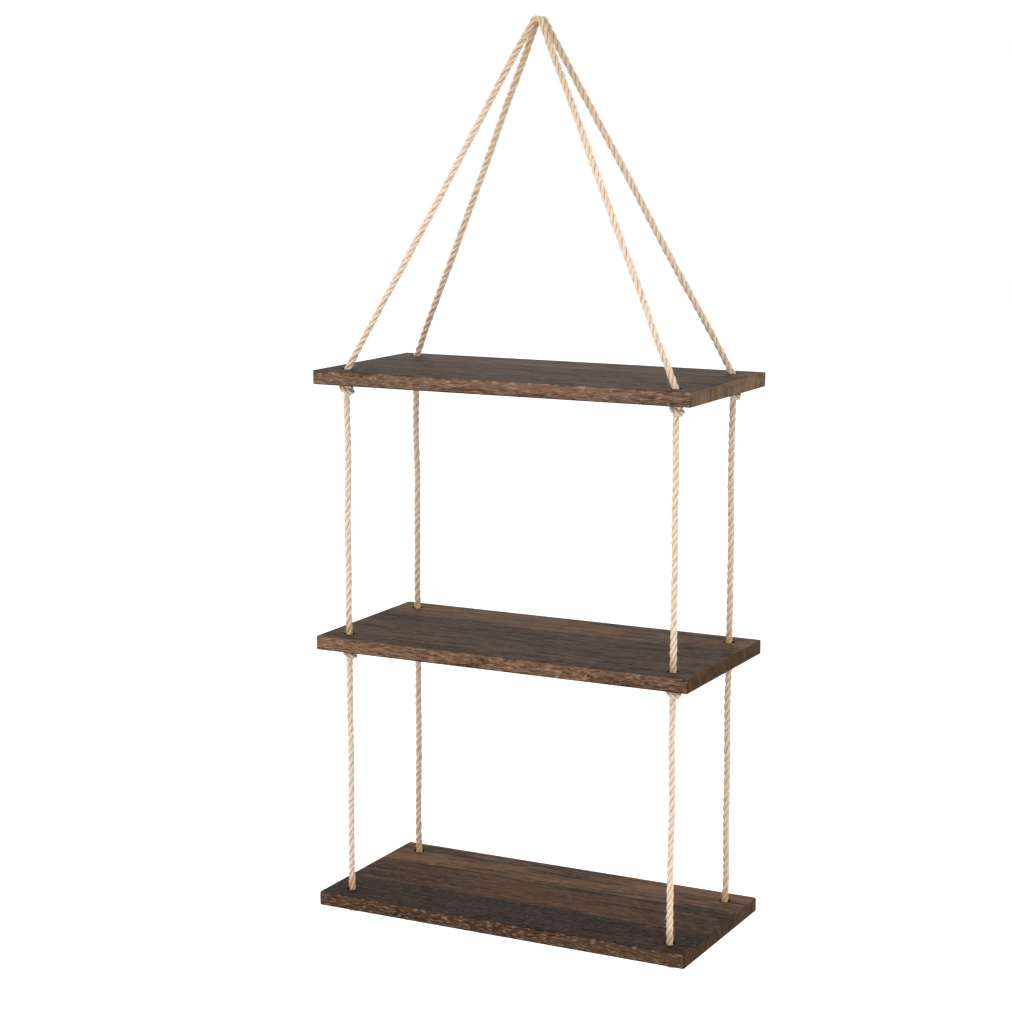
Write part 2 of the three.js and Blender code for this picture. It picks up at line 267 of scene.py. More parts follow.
# Where on its board a point lies: how near an edge or a rope hole, whether on a long side or an
# end, whether low down, and whether on the glue line.
def buildPlaceGroup():
    tree, given, result = newGroup(
        "boardPlace",
        [("Vector", "NodeSocketVector", None), ("Top", "NodeSocketFloat", 0.0)],
        ["Edge", "Hole", "Sides", "Ends", "Low", "Glue"],
    )
    place = partsOf(tree, given["Vector"])
    half = shelf["thickness"] / 2
    acrossX = calc(tree, "ABSOLUTE", place["X"])
    acrossY = calc(tree, "ABSOLUTE", place["Y"])
    depth = calc(tree, "SUBTRACT", given["Top"], place["Z"])
    toX = calc(tree, "SUBTRACT", shelf["halfLength"], acrossX)
    toY = calc(tree, "SUBTRACT", shelf["halfDepth"], acrossY)
    toZ = calc(tree, "SUBTRACT", half, calc(tree, "ABSOLUTE", calc(tree, "SUBTRACT", depth, half)))
    # An edge is near where the second nearest of the three faces is.
    least = calc(tree, "MINIMUM", toX, toY)
    most = calc(tree, "MAXIMUM", toX, toY)
    tree.links.new(calc(tree, "MAXIMUM", least, calc(tree, "MINIMUM", most, toZ)), result["Edge"])
    fromHoleX = calc(tree, "SUBTRACT", acrossX, shelf["holeX"])
    fromHoleY = calc(tree, "SUBTRACT", acrossY, shelf["holeY"])
    fromHole = vectorCalc(tree, "LENGTH", vectorOf(tree, fromHoleX, fromHoleY))
    tree.links.new(calc(tree, "SUBTRACT", fromHole, shelf["holeRadius"]), result["Hole"])
    radius = shelf["cornerRadius"]
    inX, inY = (calc(tree, "MAXIMUM", calc(tree, "SUBTRACT", radius, to), 0.0) for to in (toX, toY))
    rim = vectorCalc(tree, "LENGTH", vectorOf(tree, inX, inY))
    upright = band(tree, rim, *(radius - short for short in finishBands["upright"]))
    leastRim = 0.00001  # so that nothing is divided by zero
    endShare = calc(tree, "DIVIDE", inX, calc(tree, "MAXIMUM", rim, leastRim))
    ends = band(tree, endShare, *finishBands["endTurnShare"])
    tree.links.new(upright, result["Sides"])
    tree.links.new(calc(tree, "MULTIPLY", upright, ends), result["Ends"])
    tree.links.new(band(tree, depth, *finishBands["low"]), result["Low"])
    fromSeam = calc(tree, "ABSOLUTE", calc(tree, "SUBTRACT", place["Y"], shelf["backSeam"]))
    tree.links.new(band(tree, fromSeam, *finishBands["glueLine"]), result["Glue"])
    return tree


grainGroup = buildGrainGroup()
placeGroup = buildPlaceGroup()

# The stain on each stave: where its heart lies from the middle of the board's top, how wide its
# rings are, how strong its flecks and glue line show, and the tints of its faces, edge and ends.
staves = {
    "top_board_front_stave": {
        "heart": (0, -0.150, 0.050), "ring": 0.0021, "seed": 1.3, "flecks": 0.4, "glue": 0.25,
        "tone": (0.65, 0.66, 0.65), "edge": (0.9, 0.92, 0.97), "ends": (0.86, 0.89, 0.98),
    },
    "top_board_middle_stave": {
        "heart": (0, 0.130, 0.052), "ring": 0.0026, "seed": 2.9, "flecks": 0.3, "glue": 0.25,
        "tone": (0.78, 0.8, 0.78), "edge": (1, 1, 1), "ends": (0.94, 0.98, 1.12),
    },
    "top_board_back_stave": {
        "heart": (0, 0.170, -0.046), "ring": 0.0024, "seed": 4.1, "flecks": 0.3, "glue": 0.25,
        "tone": (1.08, 1.28, 1.35), "edge": (1, 1, 1), "ends": (1, 1.08, 1.25),
    },
    "middle_board_front_stave_left": {
        "heart": (0, -0.160, -0.058), "ring": 0.0022, "seed": 5.7, "flecks": 0.35, "glue": 0.2,
        "tone": (1.02, 1.08, 1.01), "edge": (1.02, 1, 0.97), "ends": (0.8, 0.8, 0.8),
    },
    "middle_board_front_stave_right": {
        "heart": (0, -0.150, -0.054), "ring": 0.0023, "seed": 7.9, "flecks": 0.3, "glue": 0.2,
        "tone": (0.9, 0.9, 0.92), "edge": (0.9, 0.88, 0.9), "ends": (0.37, 0.28, 0.17),
    },
    "middle_board_middle_stave": {
        "heart": (0, -0.150, -0.072), "ring": 0.0028, "seed": 8.8, "flecks": 0.3, "glue": 0.2,
        "tone": (0.79, 0.81, 0.76), "edge": (1, 1, 1), "ends": (0.34, 0.26, 0.16),
    },
    "middle_board_back_stave": {
        "heart": (0, 0.180, 0.052), "ring": 0.0024, "seed": 9.6, "flecks": 0.3, "glue": 0.2,
        "tone": (1.6, 1.63, 1.58), "edge": (1, 1, 1), "ends": (0.36, 0.28, 0.19),
    },
    "bottom_board_front_stave": {
        "heart": (0, -0.152, 0.060), "ring": 0.0023, "seed": 11.1, "flecks": 0.35, "glue": 0.8,
        "tone": (0.35, 0.25, 0.16), "edge": (0.385, 0.35, 0.34), "ends": (0.28, 0.17, 0.03),
    },
    "bottom_board_middle_stave": {
        "heart": (0, 0.150, 0.060), "ring": 0.0027, "seed": 12.7, "flecks": 0.3, "glue": 0.8,
        "tone": (1.02, 0.87, 0.62), "edge": (1, 1, 1), "ends": (0.29, 0.2, 0.05),
    },
    "bottom_board_back_stave": {
        "heart": (0, 0.160, -0.050), "ring": 0.0024, "seed": 14.3, "flecks": 0.3, "glue": 0.8,
        "tone": (1.87, 1.85, 1.7), "edge": (0.9, 0.9, 0.9), "ends": (0.38, 0.29, 0.12),
    },
}

stain = {
    "dark": paint(26, 17, 11),
    "light": paint(84, 59, 42),
    "wornDark": paint(64, 44, 33),
    "wornLight": paint(136, 104, 80),
    "endDark": paint(52, 37, 22),
    "endLight": paint(130, 102, 70),
    "fleck": paint(188, 158, 134),
    "faceFlecks": 0.16,  # how strong the flecks are on a board's faces
    "endFlecks": 0.4,  # and on its ends, of what they are on its edge
    # The dark of the glue line, a real dark joint, and of the painted shade at the low arrises and in the
    # rope holes.
    "darkJointAndShade": paint(20, 13, 9),
    # How strong the painted shade is along the low arrises, and in the rope holes.
    "shadedArris": 0.8,
    "shadedHole": 0.85,
    "faceWander": 0.0012,
    "edgeWander": 0.0040,
    "roughnessBand": (0.3, 0.7, 0.64, 0.50),  # from the dark strands to the light
    "specular": 0.06,
    "strandRelief": 1.2,
    "bump": 0.6,
    "bumpHeight": 0.0004,
}

# What the lightness of a board's faces, long edges and ends is made of.
faceWeights = {"Rings": -0.2, "Streaks": 2.2, "Strands": 2.1, "Tone": 1.4, "Fibres": 1.9}
edgeWeights = {"Rings": -0.3, "Streaks": 0.6, "Strands": 0.5, "Splinters": 1.9, "Tone": 1.1, "Fibres": 0.9}
endWeights = {"Rings": -0.4, "Splinters": 0.5, "Cells": 2.8, "Tone": 1.2, "Fibres": 2.6}


# The grain from a dark to a light stain, each look weighed in, under a tint.
def stained(tree, grain, weights, dark, light, tint):
    lightness = 0.5
    for label, weight in weights.items():
        swing = calc(tree, "SUBTRACT", grain[label], 0.5)
        lightness = calc(tree, "MULTIPLY_ADD", swing, weight, lightness)
    colour = blendColour(tree, band(tree, lightness, 0.0, 1.0), stain[dark], stain[light])
    return blendColour(tree, 1.0, colour, (*tint, 1.0), "MULTIPLY")


def stainedWood(name, look):
    material, tree, surface = newMaterial(name)
    coordinates = addNode(tree, "ShaderNodeTexCoord").outputs["Object"]
    top = boardTops[name.split("_")[0]]
    place = useGroup(tree, placeGroup, {"Vector": coordinates, "Top": top})
    wander = band(tree, place["Sides"], 0.0, 1.0, stain["faceWander"], stain["edgeWander"])
    grain = useGroup(tree, grainGroup, {
        "Vector": coordinates, "Heart": Vector(look["heart"]) + Vector((0, 0, top)),
        "Ring Width": look["ring"], "Wander": wander, "Seed": look["seed"],
    })
    face = stained(tree, grain, faceWeights, "dark", "light", look["tone"])
    worn = stained(tree, grain, edgeWeights, "wornDark", "wornLight", look["edge"])
    cut = stained(tree, grain, endWeights, "endDark", "endLight", look["ends"])
    colour = blendColour(tree, place["Ends"], blendColour(tree, place["Sides"], face, worn), cut)
    sideFlecks = band(tree, place["Sides"], 0.0, 1.0, stain["faceFlecks"], look["flecks"])
    flecks = calc(tree, "MULTIPLY", sideFlecks, band(tree, place["Ends"], 0.0, 1.0, 1.0, stain["endFlecks"]))
    colour = blendColour(tree, calc(tree, "MULTIPLY", grain["Flecks"], flecks), colour, stain["fleck"])
    # Painted shade: a dark line along the arrises and corners in the lower part of the board.
    arris = band(tree, place["Edge"], *finishBands["lowArris"], 0.0, stain["shadedArris"])
    # Painted shade in and around the rope holes.
    hole = band(tree, place["Hole"], *finishBands["shadedHole"], 0.0, stain["shadedHole"])
    glue = calc(tree, "MULTIPLY", place["Glue"], look["glue"])
    # The glue line is a real dark joint; the arris and hole darkening is painted shade.
    for darkened in (calc(tree, "MULTIPLY", place["Low"], arris), glue, hole):
        colour = blendColour(tree, darkened, colour, stain["darkJointAndShade"])
    tree.links.new(colour, surface.inputs["Base Color"])
    roughness = band(tree, grain["Strands"], *stain["roughnessBand"])
    tree.links.new(roughness, surface.inputs["Roughness"])
    height = calc(tree, "MULTIPLY_ADD", grain["Strands"], stain["strandRelief"], grain["Fibres"])
    addBump(tree, surface, height, stain["bump"], stain["bumpHeight"])
    surface.inputs["Specular IOR Level"].default_value = stain["specular"]
    return material


for name, look in staves.items():
    wood = stainedWood(name, look)
    nodes[name].data.materials.clear()
    nodes[name].data.materials.append(wood)
print("staves stained")

# Jute is pale, with tan yarns, pink and olive patches, and painted shade in the grooves between its
# strands. It goes olive on the back rope and towards the hook, partly with painted shade where the
# ropes cross at the apex, and is rubbed where it comes down to a board. A band gives where its
# colour starts and where it is full, on its noise or in metres, and how strong it is there.
jute = {
    "pale": paint(253, 236, 216),
    "tan": paint(238, 208, 180),
    "pink": paint(230, 194, 172),
    "olive": paint(174, 148, 110),
    # The colour of the painted shade in the grooves between the strands.
    "grooveShade": paint(138, 104, 76),
    "rubbed": paint(210, 172, 114),
    "paleBand": (0.36, 0.62, 0.0, 1.0),
    "pinkBand": (0.50, 0.32, 0.0, 0.7),
    "oliveBand": (0.54, 0.74, 0.0, 0.7),
    # Towards the hook: the rope's own olive tint, with painted shade where the ropes cross at the apex.
    "hookBand": (-0.16, 0.01, 0.0, 0.4),
    "backBand": (-0.004, 0.004, 0.0, 0.22),
    "rubbedBand": (0.018, 0.004, 0.0, 0.6),
    "hairBand": (0.44, 0.28, 0.0, 0.55),
    # Painted shade in the grooves between the strands, where a strand faces in.
    "grooveShadeBand": (0.2, -0.5, 0.0, 0.6),
    # How finely these are drawn along a strand and round it, their detail and their roughness.
    "yarns": ((90.0, 3.2, 3.2), 3.0, 0.6),
    "hairs": ((260.0, 11.0, 11.0), 2.0, 0.6),
    "patches": ((70.0, 0.8, 0.8), 3.0, 0.65),
    "roughness": 0.92,
    "specular": 0.2,
    "hairRelief": 0.6,
    "bump": 0.6,
    "bumpHeight": 0.0003,
}


def juteMaterial():
    material, tree, surface = newMaterial("laidJute")
    fibre = addNode(tree, "ShaderNodeAttribute", attribute_name="fibre").outputs["Vector"]
    groove = addNode(tree, "ShaderNodeAttribute", attribute_name="groove").outputs["Fac"]
    place = partsOf(tree, addNode(tree, "ShaderNodeTexCoord").outputs["Object"])
    yarns, hairs, patches = (
        smoothNoise(tree, vectorCalc(tree, "MULTIPLY", fibre, scale), detail, roughness)
        for scale, detail, roughness in (jute["yarns"], jute["hairs"], jute["patches"])
    )
    fromMiddle, fromBottom = (
        calc(tree, "ABSOLUTE", calc(tree, "SUBTRACT", place["Z"], boardTops[tier]))
        for tier in ("middle", "bottom")
    )
    colour = jute["tan"]
    for value, where, over in (
        (yarns, "paleBand", "pale"),
        (patches, "pinkBand", "pink"),
        (patches, "oliveBand", "olive"),
        # Towards the hook: the rope's own olive tint and painted shade where the ropes cross.
        (place["Z"], "hookBand", "olive"),
        (place["Y"], "backBand", "olive"),
        (fromMiddle, "rubbedBand", "rubbed"),
        (fromBottom, "rubbedBand", "rubbed"),
        (hairs, "hairBand", "olive"),
        # Painted shade in the grooves between the strands.
        (groove, "grooveShadeBand", "grooveShade"),
    ):
        colour = blendColour(tree, band(tree, value, *jute[where]), colour, jute[over])
    tree.links.new(colour, surface.inputs["Base Color"])
    relief = calc(tree, "MULTIPLY_ADD", hairs, jute["hairRelief"], yarns)
    addBump(tree, surface, relief, jute["bump"], jute["bumpHeight"])
    surface.inputs["Roughness"].default_value = jute["roughness"]
    surface.inputs["Specular IOR Level"].default_value = jute["specular"]
    return material


laidJute = juteMaterial()

ropes = {
    "radius": 0.0035,
    "gap": 0.0003,  # between two stretches, and between a knot and its seat
    "layLength": 0.0280,  # one full turn of a strand
    "step": 0.0011,  # from one station to the next
    "strands": 3,
    "strandShare": 0.515,  # a strand's radius, of the rope's
    "strandReach": 0.525,  # and how far its middle lies from the rope's
    "strandRoundness": 2,  # bevel resolution: 8 sides
    "fibreTurn": 360.0,  # how far the fibres turn round their strand in a metre, in radians
    "apart": 0.0074,  # between the two ropes on the hook
    "hookRadius": 0.0020,
    "hookPoints": 12,
    "bendDepth": 0.0025,  # a top rope turns upright this deep in its hole
    "bendReach": 0.0040,  # over this length on both sides
    "bendPoints": 8,
    "footDepth": 0.0040,  # a swaying rope turns this deep in its hole
    "blendReach": 0.0060,  # a bend's length on either side of its turning point
    "tail": 0.0003,  # under the lowest knots
    "capReach": 0.95,  # a cut end is rounded this far, in radii
    "capShare": 0.96,  # and starts this thick
    "capStations": 4,
}

# How far a rope is from even, by smooth noise: the amount, and how often per metre it changes.
uneven = {
    "waver": 0.0006,  # how far the free rope strays from a straight line
    "waverScale": 14.0,
    "waverShift": 17.3,  # so that it doesn't stray alike both ways
    "waverReach": 0.030,  # it comes in over this length above and below a board
    "thickThin": 0.05,
    "thickThinScale": 60.0,
    "laySlip": 0.16,  # in turns
    "laySlipScale": 45.0,
    "strandSlip": 0.16,  # a strand's thickness
    "strandSlipScale": 90.0,
    "ropeShift": 40.0,  # how far the two ropes' noises lie apart
    "layShift": 7.0,
    "strandShift": 9.0,  # and those of a rope's strands
    "yarnShift": 3.7,
}

# The overhand knot, in shares of its own loop, and its sizes.
knotShares = {
    "fall": 0.97,
    "fallSines": (1.83, 0.64, 0.21),
    "side": 0.35,
    "sideCosines": (0.61, 1.07, 0.13),
    "backSines": (0.25, 1.18, 0.14),
    "axis": 0.7,
    "lead": 1.23,
    "part": 0.96,
}
leadShares = (2.0, 1.5, 1.0)  # where the straight rope passes, in leads from the knot's centre

knots = {
    "scale": 0.00380965,  # metres for one of the loop's shares
    "seatDepths": {"top": 0.007, "middle": 0.007, "bottom": 0.010},
    "halfHeight": 0.009568,
    "margin": 0.001,  # above and under it, still as full
    "radius": 0.00245,  # where the rope is drawn tight
    "fullness": 0.0031,  # the rope swells between the turns that hold it
    "squeezeLength": 0.005,
    "halfPoints": 10,
    "pointsPerSpan": 10,
}

# A knot hangs by its gap from the top of its seat, and the rope under it turns just below.
knotDrops = {tier: knots["halfHeight"] + ropes["gap"] - depth for tier, depth in knots["seatDepths"].items()}
knotCentres = [boardTops[tier] - shelf["thickness"] - drop for tier, drop in knotDrops.items()]
knotBottom = shelf["thickness"] + knotDrops["top"] + knots["halfHeight"]
turnDepth = knotBottom + ropes["radius"] + ropes["gap"]
turnHeights = {"middle": boardTops["top"] - turnDepth, "bottom": boardTops["middle"] - turnDepth}
footHeights = {tier: boardTops[tier] - ropes["footDepth"] for tier in turnHeights}


# t runs from -1 to 1 as the rope comes down, goes round itself and through its loop, and leaves.
def knotPoint(t):
    def waves(wave, shares):
        return sum(share * wave(math.pi * t * (i + 1)) for i, share in enumerate(shares))

    fall = knotShares["fall"] * t - waves(math.sin, knotShares["fallSines"])
    side = knotShares["side"] + waves(math.cos, knotShares["sideCosines"])
    back = -waves(math.sin, knotShares["backSines"])
    return Vector((back, side - knotShares["axis"], -fall))


# A smooth line through the points, a centripetal spline.
def smoothLine(points, perSpan):
    ends = [points[0] * 2 - points[1], *points, points[-1] * 2 - points[-2]]
    line = [points[0].copy()]
    for a, b, c, d in zip(ends, ends[1:], ends[2:], ends[3:]):
        before, across, after = ((q - p).length ** 0.5 for p, q in ((a, b), (b, c), (c, d)))
        leave = ((b - a) / before - (c - a) / (before + across) + (c - b) / across) * across
        arrive = ((c - b) / across - (d - b) / (across + after) + (d - c) / after) * across
        line += interpolate_bezier(b, b + leave / 3, c - arrive / 3, c, perSpan + 1)[1:]
    return line


def knotLine(centre):
    count = knots["halfPoints"]
    leads = [Vector((0, 0, knotShares["lead"] * share)) for share in leadShares]
    loop = [knotPoint(knotShares["part"] * i / count) for i in range(-count, count + 1)]
    points = leads + loop + [-lead for lead in reversed(leads)]
    return [point * knots["scale"] + centre for point in smoothLine(points, knots["pointsPerSpan"])]


# Half of one rope, from the crown over the hook down to its tail.
def cornerRoute(sideX, sideY):
    x, y = sideX * shelf["holeX"], sideY * shelf["holeY"]
    top = boardTops["top"]
    bight = ropes["hookRadius"] + ropes["radius"]
    height = ropes["bendDepth"] - top - ropes["hookRadius"]
    leanIn = bight * shelf["holeY"] / math.hypot(shelf["holeY"], height)
    crown = Vector((0, sideY * (ropes["apart"] / 2 + leanIn), -ropes["hookRadius"]))
    reach = y - crown.y
    slope = math.hypot(reach, height)
    rise = Vector((0, -reach / slope, height / slope))
    leave = math.atan2(-slope, shelf["holeX"]) + math.acos(bight / math.hypot(shelf["holeX"], slope))
    route = []
    for i in range(ropes["hookPoints"] + 1):
        angle = math.pi / 2 + (leave - math.pi / 2) * i / ropes["hookPoints"]
        route.append(crown + Vector((sideX * bight * math.cos(angle), 0, 0)) + rise * bight * math.sin(angle))
    bend = Vector((x, y, top - ropes["bendDepth"]))
    above = bend + (route[-1] - bend).normalized() * ropes["bendReach"]
    below = bend - Vector((0, 0, ropes["bendReach"]))
    handles = above.lerp(bend, 2 / 3), below.lerp(bend, 2 / 3)
    route += interpolate_bezier(above, *handles, below, ropes["bendPoints"])
    for centre in knotCentres:
        route += knotLine(Vector((x, y, centre)))
    tailEnd = knotCentres[-1] - knots["halfHeight"] - ropes["tail"]
    return [point for point in route if point.z > tailEnd] + [Vector((x, y, tailEnd))]


# The line again, in equal steps.
def evenly(line, step):
    lengths = [0.0]
    for a, b in zip(line, line[1:]):
        lengths.append(lengths[-1] + (b - a).length)
    count = round(lengths[-1] / step)
    leastStep = 1e-9  # so that nothing is divided by zero
    even, i = [], 0
    for k in range(count + 1):
        at = lengths[-1] * k / count
        while i < len(line) - 2 and lengths[i + 1] < at:
            i += 1
        share = (at - lengths[i]) / max(lengths[i + 1] - lengths[i], leastStep)
        even.append(line[i].lerp(line[i + 1], share))
    return even


# 0 in a knot, a hole and at a turning point, 1 on the free rope between them.
def freedom(point):
    free = 1.0
    for boardTop in boardTops.values():
        below = boardTop - turnDepth - point.z
        above = point.z - boardTop + ropes["footDepth"]
        free = min(free, max(below, above) / uneven["waverReach"])
    return max(0.0, min(1.0, free, -point.z / uneven["waverReach"]))


def ropeRadius(point):
    radius = ropes["radius"]
    for centre in knotCentres:
        up = abs(point.z - centre)
        off = math.hypot(abs(point.x) - shelf["holeX"], abs(point.y) - shelf["holeY"])
        if up < knots["halfHeight"] + knots["margin"] and off > knots["radius"]:
            return knots["fullness"]
        share = max(0.0, up - knotShares["lead"] * knots["scale"]) / knots["squeezeLength"]
        radius = min(radius, knots["fullness"] + (ropes["radius"] - knots["fullness"]) * min(1.0, share))
    return radius


# The free rope strays a little to both sides, the same way in every run.
def strayed(point, seed):
    there = point * uneven["waverScale"] + seed
    sideways = noise.noise(there)
    forwards = noise.noise(there + Vector((0, 0, uneven["waverShift"])))
    return point + Vector((sideways, forwards, 0)) * uneven["waver"] * 2 * freedom(point)


# One whole rope as stations: place, radius, the way its first strand lies, its direction and its
# length so far.
def wholeRope(sideY):
    halves = [evenly(cornerRoute(sideX, sideY), ropes["step"]) for sideX in (-1, 1)]
    line = halves[0][::-1] + halves[1][1:]
    seed = Vector((0, 0, uneven["ropeShift"] * sideY))
    placed = [strayed(point, seed) for point in line]
    stations, up, length = [], Vector((0, 1, 0)), 0.0
    for i, point in enumerate(placed):
        along = (placed[min(i + 1, len(placed) - 1)] - placed[max(i - 1, 0)]).normalized()
        up = (up - along * up.dot(along)).normalized()
        length += (point - placed[i - 1]).length if i else 0.0
        slipPlace = Vector((length * uneven["laySlipScale"], sideY * uneven["layShift"], 0))
        slip = uneven["laySlip"] * noise.noise(slipPlace)
        angle = 2 * math.pi * (length / ropes["layLength"] + slip)
        out = up * math.cos(angle) + along.cross(up) * math.sin(angle)
        swell = 1 + uneven["thickThin"] * noise.noise(point * uneven["thickThinScale"] + seed)
        radius = ropeRadius(line[i]) * swell
        stations.append({"at": point, "radius": radius, "out": out, "along": along, "length": length})
    return stations, len(halves[0]) - 1


# The stations past a cut, thinning towards a rounded end.
def roundedEnd(stations, indices, origin):
    cap = []
    for i in indices:
        gone = abs(stations[i]["length"] - origin["length"]) / origin["radius"]
        if gone < ropes["capReach"]:
            radius = origin["radius"] * ropes["capShare"] * math.sqrt(1 - gone * gone)
            cap.append(dict(stations[i], radius=radius))
    return cap


# The stations of one piece, with a rounded end past each place where it was cut.
def cutRope(stations, first, last, roundFirst=True, roundLast=True):
    piece = [dict(station) for station in stations[first:last + 1]]
    count = ropes["capStations"]
    if roundFirst:
        piece = roundedEnd(stations, range(first - 1, first - count - 1, -1), piece[0])[::-1] + piece
    if roundLast:
        piece = piece + roundedEnd(stations, range(last + 1, last + count + 1), piece[-1])
    return piece


# Tubes along the tracks, which are lists of place and radius.
def curveMesh(name, tracks, roundness):
    data = bpy.data.curves.new(name, "CURVE")
    data.dimensions = "3D"
    data.bevel_depth = 1.0
    data.bevel_resolution = roundness
    data.use_fill_caps = False
    for track in tracks:
        spline = data.splines.new("POLY")
        spline.points.add(len(track) - 1)
        for target, (point, radius) in zip(spline.points, track):
            target.co = (*point, 1.0)
            target.radius = radius
    holder = bpy.data.objects.new(name, data)
    bpy.context.scene.collection.objects.link(holder)
    graph = bpy.context.evaluated_depsgraph_get()
    mesh = bpy.data.meshes.new_from_object(holder.evaluated_get(graph))
    bpy.data.objects.remove(holder)
    bpy.data.curves.remove(data)
    return mesh


# Every point remembers where it lies on its strand, so that fibres and the painted shade in the
# grooves follow the lay.
def writeFibres(mesh, marks):
    mesh.attributes.new("fibre", "FLOAT_VECTOR", "POINT")
    mesh.attributes.new("groove", "FLOAT", "POINT")
    mesh.attributes["fibre"].data.foreach_set("vector", [value for mark in marks for value in mark[:3]])
    mesh.attributes["groove"].data.foreach_set("value", [mark[3] for mark in marks])


def strandMesh(name, stations):
    tracks, homes = [], []
    for k in range(ropes["strands"]):
        track = []
        for station in stations:
            out = Quaternion(station["along"], 2 * math.pi * k / ropes["strands"]) @ station["out"]
            slipPlace = Vector((station["length"] * uneven["strandSlipScale"], k * uneven["strandShift"], 0))
            slip = 1 + uneven["strandSlip"] * noise.noise(slipPlace)
            thick = station["radius"] * ropes["strandShare"] * slip
            place = station["at"] + out * station["radius"] * ropes["strandReach"]
            track.append((place, thick))
            homes.append((place, out, station["along"].cross(out), station["length"], k))
        tracks.append(track)
    mesh = curveMesh(name, tracks, ropes["strandRoundness"])
    sides = len(mesh.vertices) // len(homes)
    marks = []
    for i, vertex in enumerate(mesh.vertices):
        place, out, across, length, k = homes[i // sides]
        away = vertex.co - place
        angle = math.atan2(away.dot(across), away.dot(out))
        lean = angle - ropes["fibreTurn"] * length
        marks.append((length + k * uneven["yarnShift"], math.cos(lean), math.sin(lean), math.cos(angle)))
    writeFibres(mesh, marks)
    return mesh


# The loose fibres. Their lean and their way aside are shares of their way out from the rope, and
# their bow is in shares of their length.
fuzz = {
    "every": 0.0008,  # along the free rope
    "shortest": 0.0012,
    "longest": 0.0065,
    "rareness": 2.2,  # the higher, the fewer long ones
    "thickness": 0.00007,
    "thinning": 0.6,  # towards the tip
    "roundness": 0,  # bevel resolution: 4 sides
    "rootShare": 0.86,  # of the rope's radius
    "lean": (0.7, 2.2),
    "aside": (-0.6, 0.6),
    "bowOut": (-0.5, 0.2),
    "bowAlong": (-0.5, 0.5),
    "shares": (0, 0.35, 0.7, 1.0),  # where its points lie
    "frays": 2.5,  # so many times more at a board
    "frayReach": 0.05,
}


# A rope is rubbed where it comes down to a board, and frays there.
def fraying(point):
    above = min((point.z - top for top in boardTops.values() if point.z > top), default=1.0)
    return 1 + fuzz["frays"] * max(0.0, 1 - above / fuzz["frayReach"])


def fuzzMesh(name, stations):
    chance = random.Random(name)
    tracks, marks = [], []
    weights = [fraying(station["at"]) for station in stations]
    span = stations[-1]["length"] - stations[0]["length"]
    count = int(span / fuzz["every"] * sum(weights) / len(weights))
    for station in chance.choices(stations, weights, k=count):
        along = station["along"]
        out = Quaternion(along, chance.uniform(0, 2 * math.pi)) @ station["out"]
        spare = fuzz["longest"] - fuzz["shortest"]
        length = fuzz["shortest"] + spare * chance.random() ** fuzz["rareness"]
        lean = along * chance.choice((-1, 1)) * chance.uniform(*fuzz["lean"])
        way = (out + lean + out.cross(along) * chance.uniform(*fuzz["aside"])).normalized()
        bow = (out * chance.uniform(*fuzz["bowOut"]) + along * chance.uniform(*fuzz["bowAlong"])) * length
        start = station["at"] + out * station["radius"] * fuzz["rootShare"]
        track = []
        for share in fuzz["shares"]:
            spot = start + way * length * share + bow * share * share
            track.append((spot, fuzz["thickness"] * (1 - fuzz["thinning"] * share)))
        tracks.append(track)
        marks.append((station["length"], out.x, out.y, 1.0))
    mesh = curveMesh(name, tracks, fuzz["roundness"])
    perFibre = len(mesh.vertices) // count
    writeFibres(mesh, [marks[i // perFibre] for i in range(len(mesh.vertices))])
    return mesh


def joined(name, meshes):
    parts = []
    for mesh in meshes:
        part = bpy.data.objects.new(name, mesh)
        bpy.context.scene.collection.objects.link(part)
        parts.append(part)
    with bpy.context.temp_override(active_object=parts[0], object=parts[0], selected_editable_objects=parts):
        bpy.ops.object.join()
    piece = parts[0]
    piece.name = name
    return piece


# A piece of laid rope: three strands and their loose fibres, all closed.
def ropePiece(name, stations, body=None, replaces=()):
    piece = joined(name, [strandMesh(name, stations), fuzzMesh(name + "_fuzz", stations)])
    bm = bmesh.new()
    bm.from_mesh(piece.data)
    bmesh.ops.holes_fill(bm, edges=[edge for edge in bm.edges if edge.is_boundary], sides=0)
    bmesh.ops.recalc_face_normals(bm, faces=bm.faces)
    bm.to_mesh(piece.data)
    bm.free()
    piece.data.polygons.foreach_set("use_smooth", [True] * len(piece.data.polygons))
    piece.data.materials.clear()
    piece.data.materials.append(laidJute)
    if replaces:
        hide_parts(*replaces)
    if body:
        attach(piece, body)
    return piece


# The last station above a height as the rope goes down one side. A knot's rope also goes up, so
# with firstTime it is the last before the rope first goes under that height.
def passing(rope, sideX, height, firstTime=False):
    stations, crown = rope
    found = crown
    for i in range(crown, len(stations)) if sideX > 0 else range(crown, -1, -1):
        if stations[i]["at"].z >= height:
            found = i
        elif firstTime:
            break
    return found


# The rope between two heights on one side, or down to its tail, which stays flat, where low is None.
def stretchOf(rope, sideX, high, low, highFirst=False, lowFirst=False):
    stations, crown = rope
    start = passing(rope, sideX, high, highFirst)
    if low is None:
        end = len(stations) - 1 if sideX > 0 else 0
    else:
        end = passing(rope, sideX, low, lowFirst)
    roundLow = low is not None
    if sideX > 0:
        return cutRope(stations, start, end, True, roundLow)
    return cutRope(stations, end, start, roundLow, True)


# Where a rope bends it is two pieces, which take the place of the bend's own part and stay where they lie.
def layBend(rope, sides, height, bodies, lowFirst=False):
    sideX, sideY = sides
    upperBody, bend, lowerBody = bodies
    reach = ropes["blendReach"]
    upper = ropePiece(bend + "_upper", stretchOf(rope, sideX, height + reach, height), replaces=[bend])
    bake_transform(upper)
    lower = ropePiece(bend + "_lower", stretchOf(rope, sideX, height, height - reach, lowFirst=lowFirst))
    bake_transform(lower)


